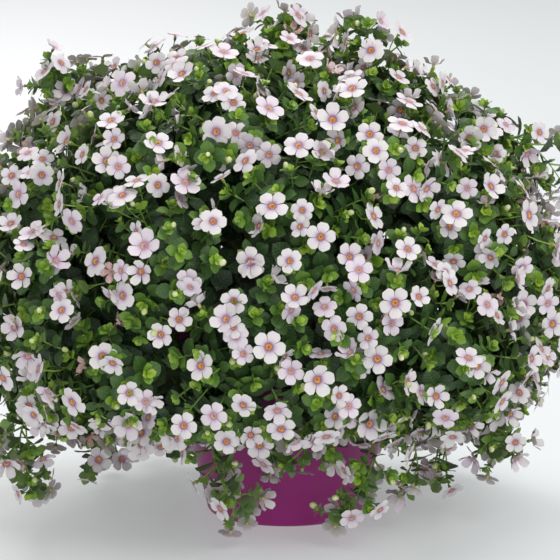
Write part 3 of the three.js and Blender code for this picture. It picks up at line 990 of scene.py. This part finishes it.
def add_fringe(stems, chance):
    """Shoots that hang below the edge of the skirt, with only a few short ones in front of the pot."""
    around = [k * GOLDEN_ANGLE for k in range(FRINGE["around"])]
    hanging = [(azimuth, FRINGE_DROP) for azimuth in around if math.sin(azimuth) > FRINGE["open_front"]]
    hanging += [(azimuth, FRONT_DROP) for azimuth in np.linspace(*FRINGE_FRONT, FRINGE["front"])]
    elevation = FRINGE["elevation"]
    for azimuth, drops in hanging:
        direction = upright(azimuth, math.cos(elevation), math.sin(elevation))
        first = clear_of_pot(at(direction, reach(direction) - FRINGE["inside"]), "shoot")
        last = first + upright(azimuth, chance.uniform(0.002, 0.01), -chance.uniform(*drops))
        last = inside_box(clear_of_pot(last, "hanging"), BOX_ROOM["hanging"])
        bend = first.lerp(last, 0.4) + upright(azimuth, 0.006, 0)
        add_spray(nearest_stem(stems, last), line_of([first, bend, last], 20), FRINGE, chance)


def add_spray(stem, path, kind, chance):
    """A shoot that runs on past the mound, with short side shoots all round."""
    stem["shoots"].append({"path": path, "age": 0.1, "leaves": kind["leaves"], "flowers": 1})
    for k, share in enumerate(np.linspace(SPRAY["first"], SPRAY["last"], kind["side_shoots"])):
        place = round(share * (len(path) - 1))
        along = (path[place + 1] - path[place - 1]).normalized()
        out = round_axis(along, LEAF_SIDE, k * 2.4 + chance.random())
        length = chance.uniform(0.5, 1) * SPRAY["length"] * (1.15 - 0.5 * share)
        end = path[place] + out * length * 0.8 + along * length * 0.6
        end = inside_box(clear_of_pot(end, "side_shoot"), BOX_ROOM["side_shoot"])
        bend = path[place].lerp(end, 0.5) + along * 0.003
        shoot = line_of([path[place], bend, end], 4)
        stem["shoots"].append({"path": shoot, "age": 0.05, "leaves": 4, "flowers": 0.75})


def inside_box(point, room):
    """Moves a point into the model's box, with some room to its walls."""
    low, high = cad_box
    return Vector([clamp(value, a + room, b - room) for value, a, b in zip(point, low, high)])


def back_along(path, distance):
    """The point at a distance back from the end of a path, and the path's direction there."""
    for before, after in zip(reversed(path[:-1]), reversed(path[1:])):
        step = (after - before).length
        if distance <= step:
            return after.lerp(before, distance / step), (after - before).normalized()
        distance -= step
    return None, None


def blade_axes(along, up, length, width=1.0):
    """A leaf's three axes for a copy: across, along and out of its upper face."""
    normal = (up - along * up.dot(along)).normalized()
    return along.cross(normal) * length * width, along * length, normal * length


def leaf_pair(k):
    """How far back from the tip a pair of leaves stands, their length and how far they stand up."""
    if k < len(LEAF_PAIRS):
        return LEAF_PAIRS[k]
    back = LEAF_PAIRS[-1][0] + EVEN_PAIRS["apart"] * (k - len(LEAF_PAIRS) + 1)
    return back, EVEN_PAIRS["length"], EVEN_PAIRS["raised"]


def add_leaves(heap, shoot, shapes, chance):
    """Crossed pairs of leaves, from a tight bright rosette at the tip to broad dark leaves inside."""
    path = shoot["path"]
    start_angle = chance.random() * math.pi
    vigour = chance.uniform(0.82, 1.16)
    inner = shoot["age"] > 0.3
    if inner:
        vigour *= INNER_LEAF
    for k in range(INNER_FIRST_PAIR if inner else 0, shoot["leaves"]):
        kind = "coarse" if inner or k in COARSE_PAIRS else "fine" if k in FINE_PAIRS else "plain"
        back, length, raised = leaf_pair(k)
        place, along = back_along(path, back * vigour)
        if place is None:
            return
        angle = start_angle + k * math.pi / 2 + chance.uniform(-0.3, 0.3)
        # Age rises pair by pair back from the tip, so leaves deeper in the mound take the leaf ramp's darker
        # end, which is partly painted shade.
        age = clamp(shoot["age"] + (k - 0.4) / 5.5 + chance.uniform(-0.12, 0.12), 0, 1)
        for half in (0, math.pi):
            out = round_axis(along, LEAF_SIDE, angle + half)
            raise_by = math.radians(raised + chance.uniform(-14, 14))
            leaf = (out * math.cos(raise_by) + along * math.sin(raise_by)).normalized()
            size = length * vigour * chance.uniform(0.85, 1.15)
            twist = out.cross(along) * chance.uniform(-0.35, 0.35)
            axes = blade_axes(leaf, along + twist, size, chance.uniform(0.88, 1.12))
            heap.add(chance.choice(shapes[kind]), place, *axes, age)


def flower_axes(front, spin, radius):
    petal_way = round_axis(front, FLOWER_SIDE, spin)
    return petal_way.cross(front) * radius, petal_way * radius, front * radius


def stalk_to(heap, shoot, centre, front, radius):
    """A thin flower stalk from a leaf axil of a shoot up to the foot of a flower's tube."""
    foot, _ = back_along(shoot["path"], 0.012)
    if foot is None:
        foot = shoot["path"][0]
    end = centre - front * radius * 0.5
    bend = end - front * (end - foot).length * 0.45
    heap.tube(line_of([foot, bend, end], 3), [STALK_RADIUS] * 4, 3, 1, 0.2)


def add_flower(heap, shoot, shape, centre, front, spin, radius, tint):
    """One flower on its stalk."""
    heap.add(shape, centre, *flower_axes(front, spin, radius), tint)
    stalk_to(heap, shoot, centre, front, radius)


def nearest_shoot(stem, point):
    return min(stem["shoots"], key=lambda shoot: (shoot["path"][-1] - point).length)


def add_flowers(heap, stem, shapes, chance):
    """The stem's blooms where the model has them, then smaller, half-open and fading ones, and buds."""
    for bloom in stem["blooms"]:
        outward = (bloom["centre"] - stem["neck"] - stem["axis"] * 0.02).normalized()
        front = (bloom["facing"] + outward * 0.8).normalized()
        radius = bloom["radius"] * FLOWER_SCALE
        shape = chance.choice(shapes["open"])
        shoot = nearest_shoot(stem, bloom["centre"])
        add_flower(heap, shoot, shape, bloom["centre"], front, bloom["spin"], radius, chance.random())
        if chance.random() < COMPANIONS:
            add_companion(heap, shoot, bloom, front, shapes, chance)
    for shoot in stem["shoots"]:
        if not shoot["flowers"]:
            continue
        tip = shoot["path"][-1]
        _, along = back_along(shoot["path"], 0.001)
        kind = chance.random() * 0.5 / shoot["flowers"]
        out = round_axis(along, LEAF_SIDE, chance.random() * 2 * math.pi)
        spin = chance.random() * 6.3
        if kind < SMALL_UNDER:
            radius = chance.uniform(*RADII["small"])
            centre = tip + out * chance.uniform(0.004, 0.009) + along * chance.uniform(0.003, 0.008)
            centre = inside_box(centre, radius * PETAL_ROOM)
            front = (along + out * chance.uniform(0.1, 1.5)).normalized()
            shape = chance.choice(shapes["open"] + shapes["half"])
            add_flower(heap, shoot, shape, centre, front, spin, radius, chance.random())
        elif kind < FADED_UNDER:
            radius = chance.uniform(*RADII["faded"])
            centre = tip + out * chance.uniform(0.005, 0.01) + along * chance.uniform(0.0, 0.004)
            centre = inside_box(centre, radius * PETAL_ROOM)
            front = (along * 0.5 + out).normalized()
            shape = chance.choice(shapes["faded"])
            add_flower(heap, shoot, shape, centre, front, spin, radius, chance.uniform(1.2, 1.7))
        elif kind < BUD_UNDER:
            centre = tip + out * 0.003 + along * 0.004
            axes = flower_axes(along, spin, chance.uniform(*RADII["bud"]))
            heap.add(shapes["bud"], centre, *axes, 0.1)


def add_companion(heap, shoot, bloom, front, shapes, chance):
    """A smaller flower of the same cluster, close beside a bloom and a little behind it."""
    out = round_axis(front, FLOWER_SIDE, chance.random() * 2 * math.pi)
    radius = chance.uniform(*RADII["companion"])
    centre = bloom["centre"] + out * chance.uniform(0.014, 0.018) - front * chance.uniform(0.002, 0.006)
    centre = inside_box(clear_of_pot(centre, "companion"), radius * PETAL_ROOM)
    facing = (front + out * chance.uniform(0.3, 1.0)).normalized()
    shape = chance.choice(shapes["open"] + shapes["half"])
    add_flower(heap, shoot, shape, centre, facing, chance.random() * 6.3, radius, chance.random())


def make_plant(materials):
    stems = grow_plant()
    chance = random.Random(SEED)
    add_shoots(stems, chance)
    leaves = {
        "fine": [leaf_shape(FINE_LEAF, 0.07), leaf_shape(FINE_LEAF, 0.02)],
        "plain": [leaf_shape(PLAIN_LEAF, 0.05)],
        "coarse": [leaf_shape(COARSE_LEAF, 0.05)],
    }
    flowers = {
        "open": [
            flower([0.1, 0.06, 0.14, 0.04, 0.1]),
            flower([0.02, 0.12, -0.04, 0.08, -0.08], 0.05),
            flower([0.34, 0.26, 0.4, 0.2, 0.32], 0.04),
            flower([-0.1, 0.02, -0.16, 0.06, -0.06], 0.02, 1.06),
        ],
        "half": [flower([0.62, 0.5, 0.7, 0.55, 0.6], 0.06, 0.9)],
        "faded": [flower([0.5, 0.4, 0.6, 0.3, 0.62], 0.08, 0.8)],
        "bud": bud_shape(),
    }
    for index, stem in enumerate(stems):
        node = f"leafy_stem_{index + 1:02d}"
        green = Heap()
        count = len(stem["path"])
        radii = [STEM["root"] + (STEM["neck"] - STEM["root"]) * k / (count - 1) for k in range(count)]
        green.tube(stem["path"] + [stem["tip"]], radii + [0.0009], 7, 1, 0.9)
        for shoot in stem["shoots"]:
            count = len(shoot["path"])
            radii = [SHOOTS["radius"] * (1.3 - 0.6 * k / (count - 1)) for k in range(count)]
            green.tube(shoot["path"], radii, 3, 1, 0.4)
            add_leaves(green, shoot, leaves, chance)
        white = Heap()
        add_flowers(white, stem, flowers, chance)
        dress(green.piece(node + "_leaves", [materials["leaf"], materials["stalk"]]), node)
        blooms = [materials["petal"], materials["stalk"], materials["bud"]]
        dress(white.piece(node + "_blooms", blooms), node)


def dress(piece, node):
    """Puts a finished piece on the body in place of its node."""
    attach(piece, BODY)
    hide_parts(node)


# The studio: wide pale floor, soft lights and the camera.


def make_floor(mottle):
    piece = start(bpy.ops.mesh.primitive_plane_add, size=24)
    done(piece, "floor")
    material, tree, shader = new_material("floor", colour(220, 226, 228))
    # Painted light falloff: the floor's base colour runs from paler grey on the left to darker blue-grey on
    # the right, standing in for the backdrop being lit more brightly on the left. A faint broad mottle rides
    # on it.
    patch = placed(tree, mottle, Scale=2, Contrast=0.3)
    place = tree.add("ShaderNodeTexCoord").outputs["Object"]
    sideways = tree.add("ShaderNodeSeparateXYZ", {"Vector": place}).outputs["X"]
    tone = tree.sum("ADD", tree.step(sideways, -0.7, 0.7), tree.sum("SUBTRACT", patch, 0.5))
    stops = [(0.1, colour(202, 203, 204)), (0.9, colour(184, 188, 190))]
    tree.put(shader["Base Color"], tree.ramp(tone, stops))
    shader["Roughness"].default_value = 0.4
    shader["Emission Color"].default_value = (0.97, 1, 1, 1)
    shader["Emission Strength"].default_value = 0.29
    piece.data.materials.append(material)


def make_light(name, place, aim, size, power, tone):
    lamp = bpy.data.lights.new(name, "AREA")
    lamp.shape = "RECTANGLE"
    lamp.size, lamp.size_y = size
    lamp.energy = power
    lamp.color = tone
    made = bpy.data.objects.new(name, lamp)
    made.location = place
    made.rotation_euler = (Vector(aim) - Vector(place)).to_track_quat("-Z", "Y").to_euler()
    bpy.context.scene.collection.objects.link(made)


def make_camera():
    """A long lens at the photograph's height, with the photograph's width at the pot's axis."""
    lens = bpy.data.cameras.new("camera")
    lens.sensor_width = 36
    lens.lens = lens.sensor_width * CAMERA["distance"] / CAMERA["width"]
    lens.clip_end = 50
    made = bpy.data.objects.new("camera", lens)
    back = Vector((0, -math.cos(CAMERA["elevation"]), math.sin(CAMERA["elevation"])))
    made.location = Vector(CAMERA["aim"]) + back * CAMERA["distance"]
    made.rotation_euler = back.to_track_quat("Z", "Y").to_euler()
    bpy.context.scene.collection.objects.link(made)
    bpy.context.scene.camera = made


def make_studio(mottle):
    make_floor(mottle)
    for light in LIGHTS:
        make_light(*light)
    world = bpy.data.worlds.new("studio")
    world.use_nodes = True
    background = world.node_tree.nodes["Background"]
    background.inputs["Color"].default_value = (0.93, 0.945, 0.955, 1)
    background.inputs["Strength"].default_value = 0.5
    bpy.context.scene.world = world
    bpy.context.scene.view_settings.view_transform = "Standard"
    make_camera()


mottle = mottle_group()
veins = veins_group()
make_studio(mottle)
dress(make_pot(plastic_material(mottle)), "pot")
dress(make_soil([soil_material(mottle), perlite_material(mottle)]), "soil")
make_plant(
    {
        "leaf": leaf_material(mottle, veins),
        "stalk": stalk_material(mottle),
        "petal": petal_material(mottle, veins),
        "bud": bud_material(mottle),
    }
)
